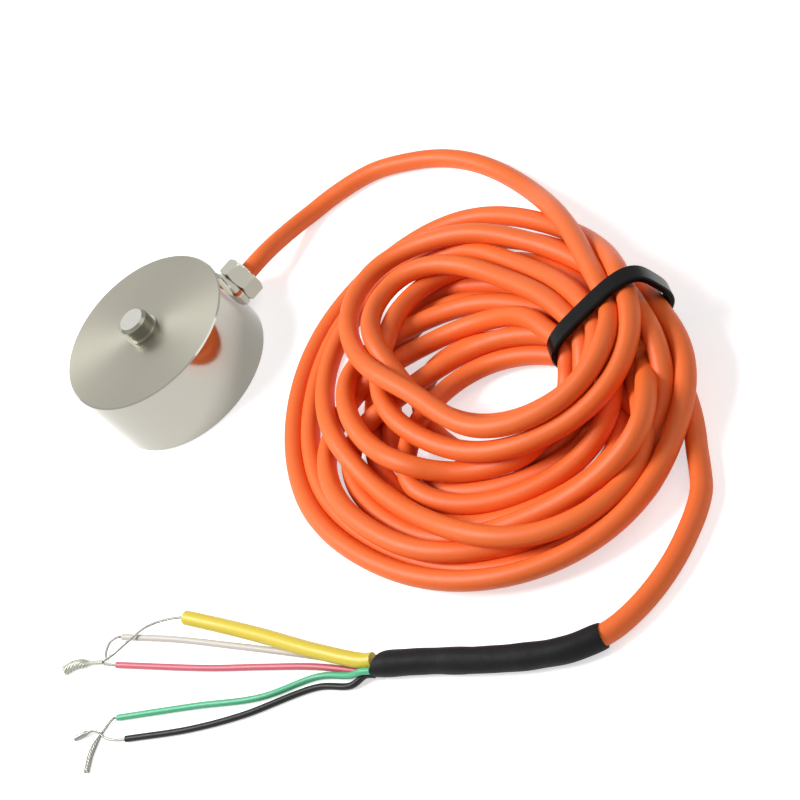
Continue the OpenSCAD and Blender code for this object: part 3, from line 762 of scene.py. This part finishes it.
body = body_piece()
gland = flange_piece()
nut = nut_piece()


# Materials
class Sock:
    """An output socket in a material; arithmetic on it adds Math nodes."""

    def __init__(self, tree, socket):
        self.tree = tree
        self.socket = socket

    def node(self, kind, inputs, output=0, **settings):
        """Adds any other node, with its inputs by name or number, and gives one output."""
        made = self.tree.nodes.new(kind)
        for key, value in settings.items():
            setattr(made, key, value)
        for key, value in inputs.items():
            if isinstance(value, Sock):
                self.tree.links.new(value.socket, made.inputs[key])
            else:
                made.inputs[key].default_value = value
        return Sock(self.tree, made.outputs[output])

    def maths(self, operation, other=0.0):
        return self.node("ShaderNodeMath", {0: self, 1: other}, operation=operation)

    def __add__(self, other):
        return self.maths("ADD", other)

    def __sub__(self, other):
        return self.maths("SUBTRACT", other)

    def __rsub__(self, other):
        return self.node("ShaderNodeMath", {0: other, 1: self}, operation="SUBTRACT")

    def __mul__(self, other):
        return self.maths("MULTIPLY", other)

    __radd__ = __add__
    __rmul__ = __mul__

    def clamp(self, low, high):
        return self.maths("MAXIMUM", low).maths("MINIMUM", high)

    def mix(self, first, second):
        """Mixes two colours, with this socket as the factor."""
        return self.node("ShaderNodeMix", {"Factor": self, "A": first, "B": second}, output="Result",
                         data_type="RGBA")


def colour(red, green, blue):
    """A colour as seen on screen, 0 to 255, as linear values."""

    def linear(value):
        value /= 255
        return value / 12.92 if value <= 0.04045 else ((value + 0.055) / 1.055) ** 2.4
    return (linear(red), linear(green), linear(blue), 1)


class Surface:
    """A material with a Principled shader, and the sockets that its pattern is made from."""

    def __init__(self, name, base, roughness, metallic=0, **constants):
        self.material = bpy.data.materials.new(name)
        self.material.use_nodes = True
        self.tree = self.material.node_tree
        self.shader = self.tree.nodes["Principled BSDF"]
        self.shader.inputs["Base Color"].default_value = base
        self.shader.inputs["Roughness"].default_value = roughness
        self.shader.inputs["Metallic"].default_value = metallic
        for key, value in constants.items():
            self.shader.inputs[key.replace("_", " ")].default_value = value
        place = self.tree.nodes.new("ShaderNodeTexCoord")
        self.place = Sock(self.tree, place.outputs["Object"])
        self.map = Sock(self.tree, place.outputs["UV"])

    def noise(self, scale, detail=2, where=None, stretch=None):
        where = self.place if where is None else where
        if stretch is not None:
            where = where.node("ShaderNodeMapping", {"Vector": where, "Scale": stretch})
        return where.node("ShaderNodeTexNoise", {"Vector": where, "Scale": scale, "Detail": detail})

    def link(self, name, sock):
        self.tree.links.new(sock.socket, self.shader.inputs[name])

    def bump(self, height, strength, distance):
        self.link("Normal", height.node("ShaderNodeBump", {
            "Height": height, "Strength": strength, "Distance": distance}, output="Normal"))

    def on(self, *objects):
        for made in objects:
            made.data.materials.clear()
            made.data.materials.append(self.material)
        return self


def jacket_material():
    """Satin jacket, a little uneven in colour."""
    made = Surface("orange_jacket", colour(250, 110, 40), 0.5, Specular_IOR_Level=0.4)
    patches = made.noise(60, 3)
    made.link("Base Color", patches.mix(colour(237, 102, 38), colour(244, 117, 50)))
    made.link("Roughness", made.noise(900, 3) * 0.14 + 0.42)
    made.bump(made.noise(2500, 4), 0.12, 0.0002)
    return made


def turned_material():
    """Faced steel: fine rings round the axis."""
    made = Surface("turned_steel", colour(167, 164, 151), 0.3, 1, Anisotropic=0.6)
    flat = made.place.node("ShaderNodeVectorMath", {0: made.place, 1: (1, 1, 0)}, operation="MULTIPLY")
    radius = flat.node("ShaderNodeVectorMath", {0: flat}, output="Value", operation="LENGTH")
    rings = radius.node("ShaderNodeTexNoise", {"W": radius, "Scale": 9000, "Detail": 4},
                        noise_dimensions="1D")
    made.link("Roughness", rings * 0.16 + 0.26)
    made.bump(rings, 0.12, 0.00002)
    made.link("Base Color", made.noise(40, 3).mix(colour(159, 156, 143), colour(175, 172, 159)))
    return made


def polished_material(name, base):
    """Bright steel with a soft reflection."""
    made = Surface(name, base, 0.1, 1)
    made.link("Roughness", made.noise(300, 4) * 0.08 + 0.06)
    return made


def plain_material(name, base, roughness, metallic=0, grain=1200, depth=0.1, **constants):
    """One colour with a fine grain."""
    made = Surface(name, base, roughness, metallic, **constants)
    made.link("Roughness", made.noise(grain, 3) * 0.2 + (roughness - 0.1))
    made.bump(made.noise(grain * 2, 3), depth, 0.0001)
    return made


jacket_material().on(cable)
turned_material().on(body)
wall_steel = polished_material("polished_steel", colour(160, 157, 148))
# The button's top and side are one steel in two colours: the top is painted lighter as a painted highlight,
# and the side is painted darker as painted shade
crown = plain_material("crown_painted_highlight", colour(205, 204, 196), 0.26, 1)
button_side_painted_shade = plain_material("button_side_painted_shade", colour(132, 130, 119), 0.24, 1)
for finish in (wall_steel, crown, button_side_painted_shade):
    body.data.materials.append(finish.material)
WALL_STEEL = 1
CROWN_PAINTED_HIGHLIGHT = 2
BUTTON_SIDE_PAINTED_SHADE = 3
# Button faces: the top gets the painted highlight and the side gets the painted shade; the body's other side
# faces get the polished wall
for face in body.data.polygons:
    on_side = math.hypot(face.normal.x, face.normal.y) > 0.3
    on_button = face.center.z > (BODY_H + 0.05) * MM
    if on_button:
        face.material_index = BUTTON_SIDE_PAINTED_SHADE if on_side else CROWN_PAINTED_HIGHLIGHT
    elif on_side:
        face.material_index = WALL_STEEL
polished_material("gland_steel", colour(186, 183, 170)).on(gland, nut)
plain_material("black_nylon", colour(10, 10, 12), 0.2, grain=500, Specular_IOR_Level=0.12).on(strap, tie_head)
plain_material("shrink_sleeve", colour(20, 19, 20), 0.6, grain=800, depth=0.3,
               Specular_IOR_Level=0.15).on(sleeve)
plain_material("yellow_pvc", colour(221, 198, 60), 0.4).on(yellow)
plain_material("red_insulation", colour(208, 98, 114), 0.4).on(cores["red"])
plain_material("white_insulation", colour(204, 199, 190), 0.45).on(cores["white"])
plain_material("green_insulation", colour(80, 180, 134), 0.4).on(cores["green"])
plain_material("black_insulation", colour(16, 16, 18), 0.4, Specular_IOR_Level=0.25).on(cores["black"])
plain_material("tinned_copper", colour(140, 138, 132), 0.35, 1).on(screen, *strands.values())
plain_material("soldered_twist", colour(165, 166, 154), 0.5, 1).on(twist)

NODE_FINISHES = {
    "base_cover": ("cover_steel", colour(200, 195, 190), 0.35, 1),
    "terminal_board": ("board_laminate", colour(40, 110, 60), 0.5, 0),
    "solder_joints": ("solder", colour(190, 190, 192), 0.3, 1),
    "trim_resistors": ("resistor_body", colour(40, 40, 42), 0.5, 0),
    "gauge_wires": ("copper_wire", colour(190, 110, 70), 0.35, 1),
    "inner_red_core": ("inner_red", colour(208, 98, 114), 0.4, 0),
    "inner_white_core": ("inner_white", colour(204, 199, 190), 0.45, 0),
    "inner_green_core": ("inner_green", colour(80, 180, 134), 0.4, 0),
    "inner_black_core": ("inner_black", colour(16, 16, 18), 0.4, 0),
    "inner_cable_end": ("inner_jacket", colour(250, 110, 40), 0.42, 0),
    "gland_seal": ("seal_rubber", colour(25, 25, 26), 0.6, 0),
    "gland_washer": ("washer_brass", colour(200, 165, 90), 0.3, 1),
}
for number in range(1, 5):
    NODE_FINISHES[f"strain_gauge_{number}"] = (f"gauge_foil_{number}", colour(190, 140, 70), 0.35, 0)
for node_name, finish in NODE_FINISHES.items():
    plain_material(*finish).on(bpy.data.objects[node_name])

# What each piece rides on and stands for
PIECES = {
    cable: (("cable_lead", "cable_coil", "cable_tail"), "cable_jacket"),
    strap: (("cable_tie",), "tie_nylon"),
    tie_head: ((), "tie_nylon"),
    sleeve: (("shrink_sleeve",), "shrink_black"),
    yellow: (("yellow_sleeve",), "yellow_pvc"),
    screen: (("screen_wire",), "tinned_copper"),
    twist: (("soldered_twist",), "solder"),
    body: (("housing",), "body_steel"),
    gland: (("gland_body",), "gland_steel"),
    nut: (("gland_nut",), "gland_steel"),
}
for name, core in cores.items():
    PIECES[core] = ((name + "_core",), name + "_insulation")
for name, bare in strands.items():
    PIECES[bare] = ((name + "_strands",), "tinned_copper")
for made, (stands_for, slot_name) in PIECES.items():
    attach(made, "root")
    if stands_for:
        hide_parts(*stands_for)


# Light
world = bpy.data.worlds.new("world")
bpy.context.scene.world = world
world.use_nodes = True
world_tree = world.node_tree
background = world_tree.nodes["Background"]


def seen(tree):
    """1 on camera, glossy and transmission rays, else 0."""
    path = tree.nodes.new("ShaderNodeLightPath")
    camera = Sock(tree, path.outputs["Is Camera Ray"])
    glossy = Sock(tree, path.outputs["Is Glossy Ray"])
    through = Sock(tree, path.outputs["Is Transmission Ray"])
    return (camera + glossy + through).clamp(0, 1)


WORLD_LIGHT = 0.2
strength = WORLD_LIGHT + (1 - WORLD_LIGHT) * seen(world_tree)
world_tree.links.new(strength.socket, background.inputs["Strength"])
background.inputs["Color"].default_value = (1, 1, 1, 1)


def add_lamp(name, place, aim, size, watts):
    """A square lamp, placed in metres."""
    data = bpy.data.lights.new(name, "AREA")
    data.size = size
    data.energy = watts
    made = bpy.data.objects.new(name, data)
    made.location = place
    made.rotation_euler = (Vector(place) - Vector(aim)).to_track_quat("Z", "Y").to_euler()
    bpy.context.scene.collection.objects.link(made)


add_lamp("key", place=(-0.35, 0.25, 0.6), aim=(0, -0.06, 0), size=0.35, watts=6.5)
add_lamp("fill", place=(0.45, -0.35, 0.5), aim=(0.02, -0.06, 0), size=0.5, watts=1)

FLOOR_GLOW = 0.6
floor_mesh = bpy.data.meshes.new("floor")
reach = 1.5
floor_mesh.from_pydata([(-reach, -reach, 0), (reach, -reach, 0), (reach, reach, 0), (-reach, reach, 0)], [],
                       [(0, 1, 2, 3)])
floor = add_object("floor", floor_mesh)
floor_finish = Surface("white_floor", (0.82, 0.82, 0.82, 1), 0.9)
floor_finish.shader.inputs["Emission Color"].default_value = (1, 1, 1, 1)
floor_finish.shader.inputs["Emission Strength"].default_value = 1
glow = FLOOR_GLOW * seen(floor_finish.tree)
floor_finish.link("Emission Color", glow.node("ShaderNodeCombineColor", {0: glow, 1: glow, 2: glow}))
floor_finish.on(floor)

bpy.context.scene.view_settings.view_transform = "Standard"
